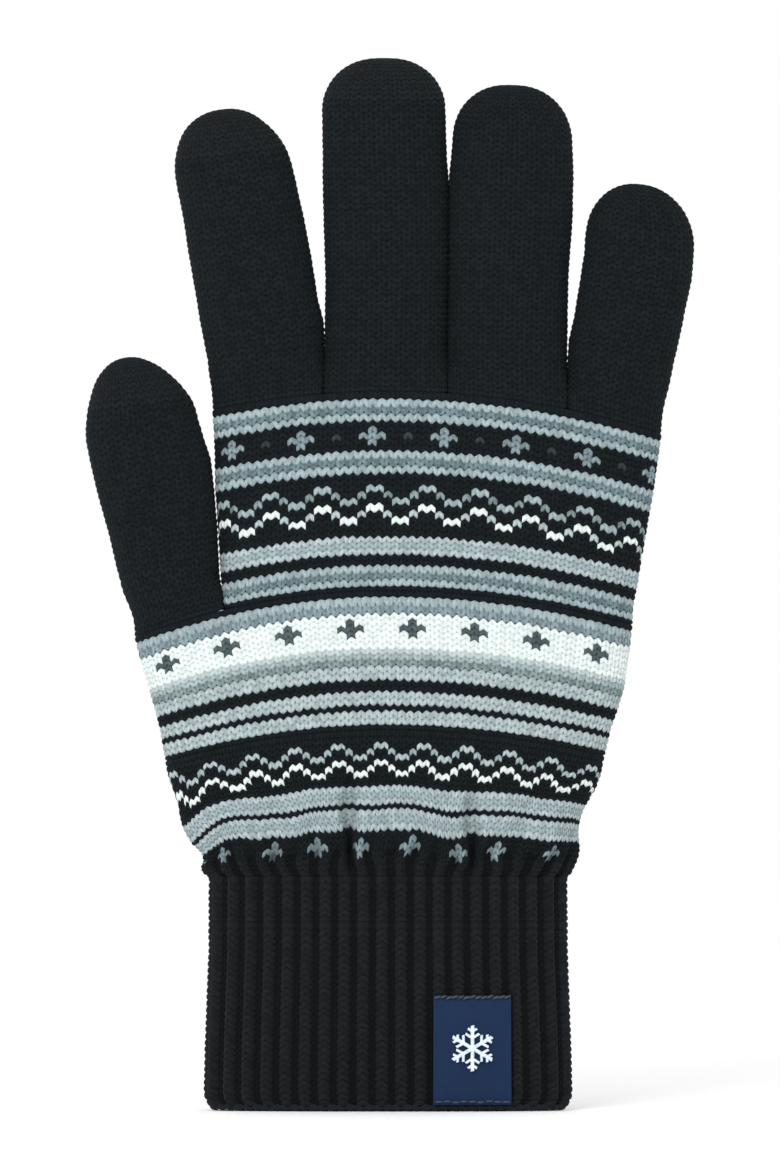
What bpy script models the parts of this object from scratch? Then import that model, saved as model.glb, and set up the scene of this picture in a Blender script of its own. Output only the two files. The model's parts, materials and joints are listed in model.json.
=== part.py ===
"""A knitted touchscreen glove, as its separate pieces, in metres.

The glove stands with its fingers up. +Z runs from the wrist opening to the fingertips, the back
of the hand faces -Y, the palm faces +Y and the little finger is on the +X side. The origin is
the centre of the wrist opening, in the plane of the cuff's edge.

Every knitted piece is a hollow sleeve with a rounded, flattened section. Where two sleeves are
hinged, their ends are mitred on the side that closes up, so that they clear each other.
"""
from math import atan2, cos, radians, sin, tan

import bmesh
import bpy
from mathutils import Matrix, Vector

MM = 0.001

# ---- fabric -------------------------------------------------------------------------------
WALL = 1.5 * MM              # thickness of the knitted fabric
GAP = 0.35 * MM              # clearance between neighbouring pieces
ROUNDNESS = 2.5              # power of the rounded section: 2 is an ellipse, more is boxier
HAND_SIDES = 32              # corners round the hand and the cuff
FINGER_SIDES = 20            # corners round a finger
MITRE_SLACK = radians(1.5)   # each mitre opens this much more than half the hinge's range

# ---- cuff ---------------------------------------------------------------------------------
CUFF_TOP = 50.5 * MM
CUFF_HALF_WIDTH = 38.5 * MM
CUFF_FLARE = 0.9 * MM        # the edge is this much wider than the top, on each side
CUFF_HALF_DEPTH = 8.6 * MM
HEM_HEIGHT = 1.5 * MM
HEM_WALL = 1.8 * MM
ELASTIC_COUNT = 6
ELASTIC_THICKNESS = 0.8 * MM
ELASTIC_LOWEST = 7.0 * MM
ELASTIC_SPACING = 7.0 * MM

# ---- label --------------------------------------------------------------------------------
LABEL_CENTRE_X = 18.1 * MM
LABEL_WIDTH = 16.8 * MM
LABEL_BOTTOM = 1.3 * MM
LABEL_HEIGHT = 23.6 * MM
LABEL_THICKNESS = 0.8 * MM
STITCH_INSET = 1.2 * MM
STITCH_THICKNESS = 0.4 * MM

# ---- hand: height, then the left and right edges there --------------------------------------
THUMB_MOUTH_X = -45.3 * MM   # middle of the slanted opening that the thumb grows from
THUMB_MOUTH_Z = 104.3 * MM
THUMB_MOUTH_SLOPE = radians(25.5)
SHOULDER_Z = 108.6 * MM      # where the opening meets the upper hand
FINGER_ROOT_Z = 155.6 * MM   # the crotches between the fingers
LOWER_HAND_EDGES = [
    (50.5 * MM, -38.5 * MM, 38.5 * MM),
    (58.0 * MM, -42.6 * MM, 41.4 * MM),
    (68.0 * MM, -46.4 * MM, 43.9 * MM),
    (84.0 * MM, -49.8 * MM, 47.9 * MM),
    (108.6 * MM, -54.2 * MM, 53.2 * MM),
]
UPPER_HAND_EDGES = [
    (108.6 * MM, -35.3 * MM, 53.3 * MM),
    (131.0 * MM, -36.4 * MM, 56.8 * MM),
    (155.6 * MM, -38.4 * MM, 61.0 * MM),
]
LOWER_HAND_HALF_DEPTHS = [(50.5 * MM, 8.8 * MM), (68.0 * MM, 10.8 * MM), (108.6 * MM, 11.3 * MM)]
UPPER_HAND_HALF_DEPTHS = [(108.6 * MM, 11.3 * MM), (135.0 * MM, 10.8 * MM), (155.6 * MM, 9.2 * MM)]

# ---- joints -------------------------------------------------------------------------------
HINGE_Y = 2.0 * MM           # finger hinges lie a little to the palm side of the middle
WRIST_RANGE = radians(50)    # each way
KNUCKLE_RANGE = radians(75)
MIDDLE_RANGE = radians(90)
TIP_RANGE = radians(45)
THUMB_BASE_RANGE = radians(60)
THUMB_TIP_RANGE = radians(75)
MIDDLE_AT = 0.38             # where a finger's middle joint is, as a part of its length
TIP_AT = 0.70                # where its last joint is

# ---- fingers: root, tilt towards the thumb, length, half widths at root and above, half depth --
FINGERS = {
    "index": dict(x=-26.1 * MM, z=156.2 * MM, tilt=radians(7.2), length=59.2 * MM,
                  root=11.6 * MM, wide=12.8 * MM, depth=8.1 * MM, touch=10.5 * MM),
    "middle": dict(x=-0.6 * MM, z=156.2 * MM, tilt=radians(0.5), length=69.8 * MM,
                   root=12.5 * MM, wide=13.1 * MM, depth=8.3 * MM, touch=11.5 * MM),
    "ring": dict(x=25.8 * MM, z=156.2 * MM, tilt=radians(-1.6), length=64.2 * MM,
                 root=12.1 * MM, wide=12.8 * MM, depth=8.1 * MM, touch=0.0),
    "little": dict(x=50.2 * MM, z=156.2 * MM, tilt=radians(-6.0), length=43.1 * MM,
                   root=10.9 * MM, wide=12.0 * MM, depth=7.6 * MM, touch=0.0),
}
THUMB_BASE_TILT = radians(10.0)
THUMB_TIP_TILT = radians(6.0)
THUMB_BASE_LENGTH = 27.0 * MM
THUMB_TIP_LENGTH = 31.4 * MM
THUMB_ROOT_HALF_WIDTH = 8.6 * MM
THUMB_HALF_WIDTH = 12.3 * MM
THUMB_HALF_DEPTH = 8.3 * MM
THUMB_TOUCH = 13.0 * MM
TOUCH_SIDE = 1.0 * MM        # least straight side of a touch tip, below its dome
WIDEST_AT = 0.35             # a finger reaches its full width this far along
DOME_HEIGHT = 11.5 * MM      # length of a fingertip's rounded end
DOME_RINGS = 4
DOME_LAST = radians(74)      # the dome's last ring, where a small flat end closes it

BLACK_YARN = ("black_yarn", (0.011, 0.014, 0.017), 0.9)
PATTERN_YARN = ("pattern_yarn", (0.30, 0.37, 0.39), 0.9)
TOUCH_YARN = ("conductive_yarn", (0.018, 0.020, 0.022), 0.7)
ELASTIC = ("elastic_thread", (0.008, 0.008, 0.009), 0.6)
LABEL_CLOTH = ("label_cloth", (0.010, 0.035, 0.090), 0.6)
THREAD = ("sewing_thread", (0.012, 0.013, 0.015), 0.6)


def clear_scene():
    """Remove whatever the file opened with."""
    for obj in list(bpy.data.objects):
        bpy.data.objects.remove(obj, do_unlink=True)


def material(spec):
    """The Principled material of a (name, linear colour, roughness) triple."""
    name, colour, roughness = spec
    made = bpy.data.materials.get(name)
    if made is None:
        made = bpy.data.materials.new(name)
        made.use_nodes = True
        shader = made.node_tree.nodes["Principled BSDF"]
        shader.inputs["Base Color"].default_value = (*colour, 1.0)
        shader.inputs["Roughness"].default_value = roughness
    return made


def between(points, height):
    """Read a value from (height, value) points, straight between them and level past the ends."""
    if height <= points[0][0]:
        return points[0][1]
    for (low, first), (high, second) in zip(points, points[1:]):
        if height <= high:
            return first + (second - first) * (height - low) / (high - low)
    return points[-1][1]


def rounded_section(angle, half_width, half_depth):
    """A point on the rounded, flattened section, at this angle from +X."""
    across, through = cos(angle), sin(angle)
    power = 2.0 / ROUNDNESS
    x = half_width * abs(across) ** power * (1 if across >= 0 else -1)
    y = half_depth * abs(through) ** power * (1 if through >= 0 else -1)
    return x, y


def add_ring(bm, sides, place):
    """Add one closed loop of corners; place(angle) gives each corner's position."""
    ring = bmesh.ops.create_circle(bm, cap_ends=False, segments=sides, radius=1.0)["verts"]
    for corner in ring:
        corner.co = Vector(place(atan2(corner.co.y, corner.co.x)))
    return ring


def skin_between(bm, lower, upper):
    """Join two rings, corner to corner, with a band of faces."""
    for i, corner in enumerate(lower):
        beside = lower[i - 1]
        bm.faces.new((beside, corner, upper[i], upper[i - 1]))


def finish_object(name, bm, spec, matrix=None, parent=None):
    """Turn a bmesh into a named object with its material, facing out and shaded smooth."""
    bmesh.ops.recalc_face_normals(bm, faces=bm.faces)
    mesh = bpy.data.meshes.new(name)
    bm.to_mesh(mesh)
    bm.free()
    mesh.shade_smooth()
    mesh.set_sharp_from_angle(angle=radians(45))
    mesh.materials.append(material(spec))
    obj = bpy.data.objects.new(name, mesh)
    bpy.context.scene.collection.objects.link(obj)
    if matrix is not None:
        obj.matrix_world = matrix
    if parent is not None:
        obj.parent = parent
        obj.matrix_parent_inverse = parent.matrix_world.inverted()
    return obj


def sleeve(name, spec, sides, levels, section, floor, roof, wall=WALL, dome=0.0, **place):
    """A hollow sleeve between two ends, open at both or closed by a dome at the top.

    section(t) gives the middle x, half width and half depth at t, from 0 at the bottom to 1 at
    the top. floor(x, y) and roof(x, y) give the heights of the two ends over a point.
    """
    bm = bmesh.new()
    rings = []

    def side_ring(t, inset):
        def corner(angle):
            middle, half_width, half_depth = section(t)
            x, y = rounded_section(angle, half_width - inset, half_depth - inset)
            low, high = floor(middle + x, y), roof(middle + x, y)
            return middle + x, y, low + (high - low) * t
        return add_ring(bm, sides, corner)

    def dome_ring(angle_up, inset):
        def corner(angle):
            middle, half_width, half_depth = section(1.0)
            shrink = cos(angle_up)
            x, y = rounded_section(angle, (half_width - inset) * shrink,
                                   (half_depth - inset) * shrink)
            return middle + x, y, roof(middle, 0.0) + (dome - inset) * sin(angle_up)
        return add_ring(bm, sides, corner)

    steps = [i / (levels - 1) for i in range(levels)]
    domes = [DOME_LAST * (i + 1) / DOME_RINGS for i in range(DOME_RINGS)] if dome else []
    rings += [side_ring(t, 0.0) for t in steps]
    rings += [dome_ring(angle, 0.0) for angle in domes]
    outer_top = len(rings) - 1
    rings += [dome_ring(angle, wall) for angle in reversed(domes)]
    rings += [side_ring(t, wall) for t in reversed(steps)]
    pairs = list(zip(rings, rings[1:] + rings[:1]))
    if dome:
        del pairs[outer_top]
        bm.faces.new(rings[outer_top])
        bm.faces.new(rings[outer_top + 1])
    for lower, upper in pairs:
        skin_between(bm, lower, upper)
    return finish_object(name, bm, spec, **place)


def frame_at(x, z, tilt):
    """A frame whose Z runs along a finger that leans towards the thumb by tilt."""
    return Matrix.Translation((x, 0.0, z)) @ Matrix.Rotation(-tilt, 4, "Y")


def pivot(name, matrix, parent=None):
    """An empty on a hinge's axis, its own X, which carries the pieces that turn about it."""
    empty = bpy.data.objects.new(name, None)
    empty.empty_display_size = 0.01
    bpy.context.scene.collection.objects.link(empty)
    empty.matrix_world = matrix @ Matrix.Translation((0.0, HINGE_Y, 0.0))
    if parent is not None:
        empty.parent = parent
        empty.matrix_parent_inverse = parent.matrix_world.inverted()
    bpy.context.view_layer.update()
    return empty


def palm_mitre(hinge_range, y):
    """How far an end is cut back at depth y, so that the palm side can close up."""
    return max(0.0, y - HINGE_Y) * tan(hinge_range / 2 + MITRE_SLACK)


def wrist_mitre(y):
    """The same at the wrist, which bends both ways about the middle."""
    return abs(y) * tan(WRIST_RANGE / 2 + MITRE_SLACK)


def cuff_half_width(height):
    """Half width of the cuff, which flares a little towards its edge."""
    return CUFF_HALF_WIDTH + CUFF_FLARE * (1.0 - height / CUFF_TOP)


def make_cuff():
    """The ribbed cuff, its locked edge and the elastic threads that run round inside it."""
    def section(t):
        return 0.0, cuff_half_width(HEM_HEIGHT + (CUFF_TOP - HEM_HEIGHT) * t), CUFF_HALF_DEPTH

    sleeve("cuff", BLACK_YARN, HAND_SIDES, 4, section,
           lambda x, y: HEM_HEIGHT + GAP, lambda x, y: CUFF_TOP - GAP - wrist_mitre(y))
    sleeve("cuff_edge", BLACK_YARN, HAND_SIDES, 2,
           lambda t: (0.0, cuff_half_width(0.0), CUFF_HALF_DEPTH + GAP),
           lambda x, y: 0.0, lambda x, y: HEM_HEIGHT, wall=HEM_WALL)
    for number in range(ELASTIC_COUNT):
        bottom = ELASTIC_LOWEST + ELASTIC_SPACING * number
        inset = WALL + GAP
        half_width = cuff_half_width(bottom + ELASTIC_THICKNESS) - inset
        sleeve(f"elastic_thread_{number + 1}", ELASTIC, HAND_SIDES, 2,
               lambda t, half_width=half_width: (0.0, half_width, CUFF_HALF_DEPTH - inset),
               lambda x, y, bottom=bottom: bottom,
               lambda x, y, bottom=bottom: bottom + ELASTIC_THICKNESS, wall=ELASTIC_THICKNESS)


def cuff_front(x, height):
    """Y of the cuff's front at this place."""
    part = min(1.0, abs(x) / cuff_half_width(height))
    return -CUFF_HALF_DEPTH * (1.0 - part ** ROUNDNESS) ** (1.0 / ROUNDNESS)


def curved_patch(name, spec, low, high, stand_off, thickness):
    """A thin patch that follows the cuff's front from corner low (x, z) to corner high."""
    bm = bmesh.new()
    bmesh.ops.create_grid(bm, x_segments=8, y_segments=2, size=0.5)
    for vert in bm.verts:
        x = low[0] + (high[0] - low[0]) * (vert.co.x + 0.5)
        z = low[1] + (high[1] - low[1]) * (vert.co.y + 0.5)
        vert.co = (x, cuff_front(x, z) - stand_off, z)
    front = bmesh.ops.extrude_face_region(bm, geom=bm.faces[:])
    moved = [item for item in front["geom"] if isinstance(item, bmesh.types.BMVert)]
    bmesh.ops.translate(bm, verts=moved, vec=(0.0, -thickness, 0.0))
    return finish_object(name, bm, spec)


def make_label():
    """The woven label on the cuff's front, and the two rows of thread that hold it."""
    left = LABEL_CENTRE_X - LABEL_WIDTH / 2
    right = LABEL_CENTRE_X + LABEL_WIDTH / 2
    top = LABEL_BOTTOM + LABEL_HEIGHT
    stand_off = 2 * GAP
    curved_patch("label", LABEL_CLOTH, (left, LABEL_BOTTOM), (right, top),
                 stand_off, LABEL_THICKNESS)
    rows = {"label_stitch_top": top - STITCH_INSET, "label_stitch_bottom": LABEL_BOTTOM + STITCH_INSET}
    for name, height in rows.items():
        curved_patch(name, THREAD, (left + STITCH_THICKNESS, height - STITCH_THICKNESS / 2),
                     (right - STITCH_THICKNESS, height + STITCH_THICKNESS / 2),
                     stand_off + LABEL_THICKNESS + GAP, STITCH_THICKNESS)


def hand_section(edges, half_depths, t):
    """Middle, half width and half depth of the hand at t, from its lowest height to its highest."""
    height = edges[0][0] + (edges[-1][0] - edges[0][0]) * t
    left = between([(level, low) for level, low, _ in edges], height)
    right = between([(level, high) for level, _, high in edges], height)
    return (left + right) / 2, (right - left) / 2, between(half_depths, height)


def lower_hand_roof(x, y):
    """Top of the lower hand: slanted where the thumb grows from it, level under the upper hand."""
    slanted = THUMB_MOUTH_Z + (x - THUMB_MOUTH_X) * tan(THUMB_MOUTH_SLOPE)
    if slanted < SHOULDER_Z:
        return slanted - GAP - palm_mitre(THUMB_BASE_RANGE, y)
    return SHOULDER_Z - GAP


def make_hand():
    """The two zones of the patterned hand, and the pivot at the wrist that carries them."""
    wrist = pivot("wrist_pivot", Matrix.Translation((0.0, -HINGE_Y, CUFF_TOP)))
    sleeve("lower_hand", PATTERN_YARN, HAND_SIDES, 7,
           lambda t: hand_section(LOWER_HAND_EDGES, LOWER_HAND_HALF_DEPTHS, t),
           lambda x, y: CUFF_TOP + GAP + wrist_mitre(y), lower_hand_roof, parent=wrist)
    sleeve("upper_hand", PATTERN_YARN, HAND_SIDES, 5,
           lambda t: hand_section(UPPER_HAND_EDGES, UPPER_HAND_HALF_DEPTHS, t),
           lambda x, y: SHOULDER_Z + GAP,
           lambda x, y: FINGER_ROOT_Z - palm_mitre(KNUCKLE_RANGE, y), parent=wrist)
    return wrist


def finger_half_width(finger, part):
    """Half width of a finger at this part of its length."""
    return between([(0.0, finger["root"]), (WIDEST_AT, finger["wide"])], part)


def make_finger(name, finger, hand):
    """A finger's three sleeves, the last one closed by its tip.

    The sleeves lean with the finger, but they hinge about level axes, so their ends are level.
    """
    length = finger["length"]
    starts = [0.0, MIDDLE_AT * length, TIP_AT * length, length]
    ranges = [KNUCKLE_RANGE, MIDDLE_RANGE, TIP_RANGE, 0.0]
    root = frame_at(finger["x"], finger["z"], finger["tilt"])
    level = -tan(finger["tilt"])
    carrier = hand
    for number, piece in enumerate(("proximal", "middle", "distal")):
        start = starts[number]
        place = root @ Matrix.Translation((0.0, 0.0, start))
        carrier = pivot(f"{name}_{piece}_pivot", Matrix.Translation(place.translation), carrier)
        reach = starts[number + 1] - start
        last = piece == "distal"
        tip_length = finger["touch"] if last and finger["touch"] else 0.0
        dome = DOME_HEIGHT if last and not tip_length else 0.0
        side = reach - tip_length - dome

        def section(t, start=start, side=side):
            part = (start + side * t) / length
            return 0.0, finger_half_width(finger, part), finger["depth"]

        def low_end(x, y, bend=ranges[number]):
            return GAP + x * level + palm_mitre(bend, y)

        def high_end(x, y, bend=ranges[number + 1], top=side, last=last):
            return top if last else top - GAP + x * level - palm_mitre(bend, y)

        sleeve(f"{name}_{piece}", BLACK_YARN, FINGER_SIDES, 3, section, low_end, high_end,
               dome=dome, matrix=place, parent=carrier)
        if tip_length:
            make_touch_tip(name, finger["wide"], finger["depth"], tip_length,
                           place @ Matrix.Translation((0.0, 0.0, side)), carrier)


def make_touch_tip(name, half_width, half_depth, height, matrix, carrier):
    """The conductive cap that closes a fingertip."""
    dome = min(DOME_HEIGHT, height - TOUCH_SIDE)
    sleeve(f"{name}_touch_tip", TOUCH_YARN, FINGER_SIDES, 2,
           lambda t: (0.0, half_width, half_depth),
           lambda x, y: GAP, lambda x, y: height - dome, dome=dome, matrix=matrix, parent=carrier)


def make_thumb(hand):
    """The thumb's two sleeves and its conductive cap, on their pivots."""
    place = frame_at(THUMB_MOUTH_X, THUMB_MOUTH_Z, THUMB_BASE_TILT)
    mouth = frame_at(THUMB_MOUTH_X, THUMB_MOUTH_Z, THUMB_MOUTH_SLOPE)
    base_pivot = pivot("thumb_base_pivot", mouth, hand)
    slant = tan(THUMB_MOUTH_SLOPE - THUMB_BASE_TILT)
    whole = THUMB_BASE_LENGTH + THUMB_TIP_LENGTH

    def half_width(distance):
        part = distance / whole
        return between([(0.0, THUMB_ROOT_HALF_WIDTH), (WIDEST_AT, THUMB_HALF_WIDTH)], part)

    sleeve("thumb_base", BLACK_YARN, FINGER_SIDES, 4,
           lambda t: (0.0, half_width(THUMB_BASE_LENGTH * t), THUMB_HALF_DEPTH),
           lambda x, y: GAP + x * slant + palm_mitre(THUMB_BASE_RANGE, y),
           lambda x, y: THUMB_BASE_LENGTH - GAP - palm_mitre(THUMB_TIP_RANGE, y),
           matrix=place, parent=base_pivot)
    joint = place @ Matrix.Translation((0.0, 0.0, THUMB_BASE_LENGTH))
    place = frame_at(joint.translation.x, joint.translation.z, THUMB_TIP_TILT)
    tip_pivot = pivot("thumb_tip_pivot", place, base_pivot)
    side = THUMB_TIP_LENGTH - THUMB_TOUCH
    turn = tan(THUMB_BASE_TILT - THUMB_TIP_TILT)
    sleeve("thumb_tip", BLACK_YARN, FINGER_SIDES, 3,
           lambda t: (0.0, half_width(THUMB_BASE_LENGTH + side * t), THUMB_HALF_DEPTH),
           lambda x, y: GAP + abs(x) * turn + palm_mitre(THUMB_TIP_RANGE, y),
           lambda x, y: side, matrix=place, parent=tip_pivot)
    make_touch_tip("thumb", THUMB_HALF_WIDTH, THUMB_HALF_DEPTH, THUMB_TOUCH,
                   place @ Matrix.Translation((0.0, 0.0, side)), tip_pivot)


def main():
    clear_scene()
    make_cuff()
    make_label()
    hand = make_hand()
    for name, finger in FINGERS.items():
        make_finger(name, finger, hand)
    make_thumb(hand)


main()
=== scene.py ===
"""A knitted touchscreen glove with a snow-country jacquard, built around its CAD frame.

The fabric is real relief: every stitch has its two legs, raised from the tube in mesh, and each
stitch is given its own yarn from a knitting chart. Sizes are in millimetres until a mesh is
written, the glove stands with its fingers up, and the back of the hand faces -Y.
"""
import json
import logging
import math
from collections.abc import Callable
from dataclasses import dataclass, field
from enum import Enum

import bmesh
import bpy
import numpy as np
from mathutils import Matrix, Vector

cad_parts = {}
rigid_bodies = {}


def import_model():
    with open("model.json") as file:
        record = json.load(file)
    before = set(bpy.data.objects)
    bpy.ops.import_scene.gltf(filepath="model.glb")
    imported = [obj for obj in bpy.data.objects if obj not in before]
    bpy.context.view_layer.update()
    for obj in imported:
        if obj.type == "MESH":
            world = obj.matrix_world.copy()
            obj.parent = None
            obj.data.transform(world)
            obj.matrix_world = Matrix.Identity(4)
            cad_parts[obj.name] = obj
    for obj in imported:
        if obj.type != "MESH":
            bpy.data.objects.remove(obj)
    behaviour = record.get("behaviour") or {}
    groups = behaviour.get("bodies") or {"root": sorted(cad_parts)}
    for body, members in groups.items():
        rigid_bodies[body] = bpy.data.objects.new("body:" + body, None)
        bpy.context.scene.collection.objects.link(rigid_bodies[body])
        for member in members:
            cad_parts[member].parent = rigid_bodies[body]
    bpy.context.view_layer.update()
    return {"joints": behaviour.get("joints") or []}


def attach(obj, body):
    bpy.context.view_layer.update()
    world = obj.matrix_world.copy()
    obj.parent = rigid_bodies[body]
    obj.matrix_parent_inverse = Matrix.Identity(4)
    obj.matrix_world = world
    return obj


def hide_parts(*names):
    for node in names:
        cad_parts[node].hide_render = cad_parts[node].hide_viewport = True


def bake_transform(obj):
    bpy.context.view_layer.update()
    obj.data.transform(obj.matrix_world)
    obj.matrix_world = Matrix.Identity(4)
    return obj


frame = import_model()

MM = 0.001
Table = tuple[tuple[float, ...], ...]    # rows of a height and what a tube has there
log = logging.getLogger("glove")

# ---- the stitch: how one cell of knit is cut into faces and raised -------------------------
LEG_COLUMNS = (0.0, 0.2, 0.5, 0.8)     # corners across half a stitch, as parts of its width
COURSE_ROWS = (0.0, 0.22, 0.5, 0.78)   # corners up one course
LEG_RISE = (0.3, 0.8, 1.0, 0.8)        # how far each of those corners stands up
COURSE_RISE = (0.1, 0.82, 1.0, 0.8)
SQUARE_REACH = 1.6       # courses over which a straight cut eases into slanting stitches
HEIGHT_WANDER = 0.12     # how far a stitch strays up or down, as a part of its course
RISE_WANDER = 0.16       # how much more or less it stands up than the others
TONE_SCATTER = 0.3       # how far the faces of one stitch stray from its tone
DEEP_BELOW = 0.15        # draws below this are in the deep tone, the next ones thin
THIN_BELOW = 0.4
FULL_ABOVE = 0.8
GROOVE_DARK = 0.3        # share of a rib's depth from which the groove gets the full painted shade
GROOVE_DIM = 0.12        # and from which it gets half the painted shade
WELD = 1e-7              # metres within which corners of a seam are one
CELL_COLUMNS = 2 * len(LEG_COLUMNS)
CELL_ROWS = len(COURSE_ROWS)


# =============================================================================================
# small helpers
# =============================================================================================
def linear(code: str) -> tuple[float, float, float, float]:
    """Turn an sRGB hex colour into the linear colour a shader takes.

    Args:
        code: the colour as six hex digits after a hash.

    Returns:
        Red, green, blue and an alpha of 1.
    """
    parts = [int(code[i:i + 2], 16) / 255 for i in (1, 3, 5)]
    red, green, blue = [p / 12.92 if p <= 0.04045 else ((p + 0.055) / 1.055) ** 2.4 for p in parts]
    return red, green, blue, 1.0


def smoothstep(values: np.ndarray | float) -> np.ndarray:
    """Ease from 0 to 1 with level ends."""
    part = np.clip(values, 0.0, 1.0)
    return part * part * (3.0 - 2.0 * part)


def between(values: np.ndarray, table: tuple[tuple[float, float], ...]) -> np.ndarray:
    """Read a table of (place, value) pairs, straight between them and level past the ends."""
    places, results = zip(*table)
    return np.interp(values, places, results)


def add_node(nodes: bpy.types.Nodes, kind: str, links: dict | None = None,
             **settings: object) -> bpy.types.Node:
    """Add a shader node with its settings and its incoming links.

    Args:
        nodes: the node tree's nodes.
        kind: the node's type without its "ShaderNode" prefix.
        links: for each input's name, the output socket that feeds it.
        settings: values for the node's own properties or, by name, its unlinked inputs.

    Returns:
        The new node.
    """
    node = nodes.new("ShaderNode" + kind)
    for name, value in settings.items():
        label = name.replace("_", " ")
        if hasattr(node, name):
            setattr(node, name, value)
        else:
            node.inputs[label].default_value = value
    for name, socket in (links or {}).items():
        node.id_data.links.new(socket, node.inputs[name])
    return node


def new_material(name: str) -> tuple[bpy.types.Material, bpy.types.Node]:
    """Start a material.

    Args:
        name: what the stuff is called.

    Returns:
        The material and its shader.
    """
    made = bpy.data.materials.new(name)
    made.use_nodes = True
    return made, made.node_tree.nodes["Principled BSDF"]


# =============================================================================================
# finishes
# =============================================================================================
class Shade(Enum):
    """The yarns of the chart: letter there, colour, and how strongly its stitches vary in tone and
    in painted gap shade.
    """

    BLACK = ("K", "#0c1316", 2.0)
    RIB_BLACK = ("R", "#13171a", 1.7)
    GREY = ("G", "#64767b", 2.0)
    SILVER = ("P", "#8f9fa3", 1.2)
    PALE = ("C", "#9eabad", 1.3)
    FADE = ("F", "#aab7b7", 0.9)
    MIST = ("f", "#95a4a4", 1.3)
    DIM = ("D", "#748385", 2.0)
    WHITE = ("W", "#d0d9d7", 0.7)
    EMBLEM = ("M", "#76868b", 1.7)
    SHADOW = ("N", "#485456", 1.6)
    SPECK = ("S", "#2c3437", 1.2)
    TOUCH = ("T", "#0c1316", 2.0)

    @property
    def letter(self) -> str:
        """The shade's letter in a chart."""
        return self.value[0]

    @property
    def colour(self) -> str:
        """The shade's sRGB colour."""
        return self.value[1]

    @property
    def contrast(self) -> float:
        """How strongly its stitches vary in tone, and how dark their painted gap shade is."""
        return self.value[2]


class Tone(Enum):
    """How a yarn's colour varies at random from stitch to stitch, and the painted shade put into
    the gaps between stitches and into rib grooves.
    """

    PLAIN = 0.0
    FULL = 0.1
    THIN = -0.09
    # a darker tone drawn at random, and also painted shade at the corners where stitches meet and
    # at a groove's edge
    DEEP = -0.18
    # painted shade in the holes between stitches and in rib grooves; in light bands it also stands
    # for dark floats showing through
    GAP = -0.42


@dataclass(frozen=True)
class Yarn:
    """A spun yarn: matt, with a soft bloom of loose fibres at grazing angles."""

    name: str
    roughness: float = 0.9
    sheen: float = 0.02
    sheen_roughness: float = 0.5
    fibre_mm: float = 0.18       # spacing of the loose fibres that break up its surface
    fuzz_mm: float = 0.05        # how far they stand off it
    smoother: float = 0.1        # how much the roughness falls on a fibre's crown
    rougher: float = 0.08        # and how much it climbs between fibres
    specular: float = 0.15       # fibres scatter most of the gloss that a smooth solid has

    def dress(self, shade: Shade, tone: Tone) -> bpy.types.Material:
        """Make or fetch the material of this yarn in one shade and tone.

        Args:
            shade: which colour of the chart.
            tone: which of its variations.

        Returns:
            The material.
        """
        name = f"{self.name}_{shade.name.lower()}_{tone.name.lower()}"
        made = bpy.data.materials.get(name)
        if made is not None:
            return made
        made, shader = new_material(name)
        # The tone darkens or lightens the yarn: at random from stitch to stitch, and as painted
        # shade in the gaps between stitches and in rib grooves.
        strength = 1.0 + tone.value * shade.contrast
        colour = tuple(min(1.0, part * strength) for part in linear(shade.colour)[:3])
        shader.inputs["Base Color"].default_value = (*colour, 1.0)
        nodes, links = made.node_tree.nodes, made.node_tree.links
        place = add_node(nodes, "TexCoord").outputs["Object"]
        fibres = add_node(nodes, "TexNoise", {"Vector": place},
                          Scale=1.0 / (self.fibre_mm * MM), Detail=2.0, Roughness=0.6)
        matt = add_node(nodes, "MapRange", {"Value": fibres.outputs["Fac"]})
        matt.inputs["To Min"].default_value = self.roughness - self.smoother
        matt.inputs["To Max"].default_value = min(1.0, self.roughness + self.rougher)
        links.new(matt.outputs["Result"], shader.inputs["Roughness"])
        fuzz = add_node(nodes, "Bump", {"Height": fibres.outputs["Fac"]},
                        Strength=0.5, Distance=self.fuzz_mm * MM)
        links.new(fuzz.outputs["Normal"], shader.inputs["Normal"])
        shader.inputs["Sheen Weight"].default_value = self.sheen
        shader.inputs["Sheen Roughness"].default_value = self.sheen_roughness
        shader.inputs["Specular IOR Level"].default_value = self.specular
        return made


# Spun acrylic is soft and matt, and its loose fibres blur each stitch a little.
ACRYLIC = Yarn("spun_acrylic")
# In the rib the elastic draws the same yarn tight, which packs its fibres and lifts the bloom.
RIBBED = Yarn("ribbed_acrylic", sheen=0.03)
# Silver-coated fibre spun in with the acrylic leaves it black but a shade less matt.
CONDUCTIVE = Yarn("silver_fibre_acrylic", roughness=0.82, sheen=0.03)


# =============================================================================================
# the knitting chart
# =============================================================================================
@dataclass(frozen=True)
class Band:
    """Some courses of the chart, from the top down.

    Attributes:
        rows: one string of shade letters for each course, repeated round the glove.
        height: height of the whole band in millimetres.
        phase: wales from the glove's middle to the repeat's first letter.
    """

    rows: tuple[str, ...]
    height: float
    phase: int = 0


STRIPE = ("P", "G", "P")
LIGHT_STRIPE = ("C", "P", "C")
HIGH_EMBLEM = ("KKKKKKKK", "KKKMKKKK", "KKMMMKKS", "KKKMKKKK", "KKKKKKKK")
WHITE_EMBLEM = ("WWWWWWW", "WWWNWWW", "WWNNNWW", "WWWNWWW", "WWWWWWW", "WWWWWWW")
LOW_EMBLEM = ("KKKMKKKKKKKMKKK", "KKMMMKKKKKMMMKK", "KKKMKKKKKKKMKKK")
WAVES = ("PPKKKK", "KKDKKD", "KKKPPK", "WWKKKK", "KKCKKC", "KKKWWK")
LOW_WAVES = ("CCKKKK", "KKPKKP", "KKKCCK", "WWKKKK", "KKWKKW", "KKKWWK")

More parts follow.
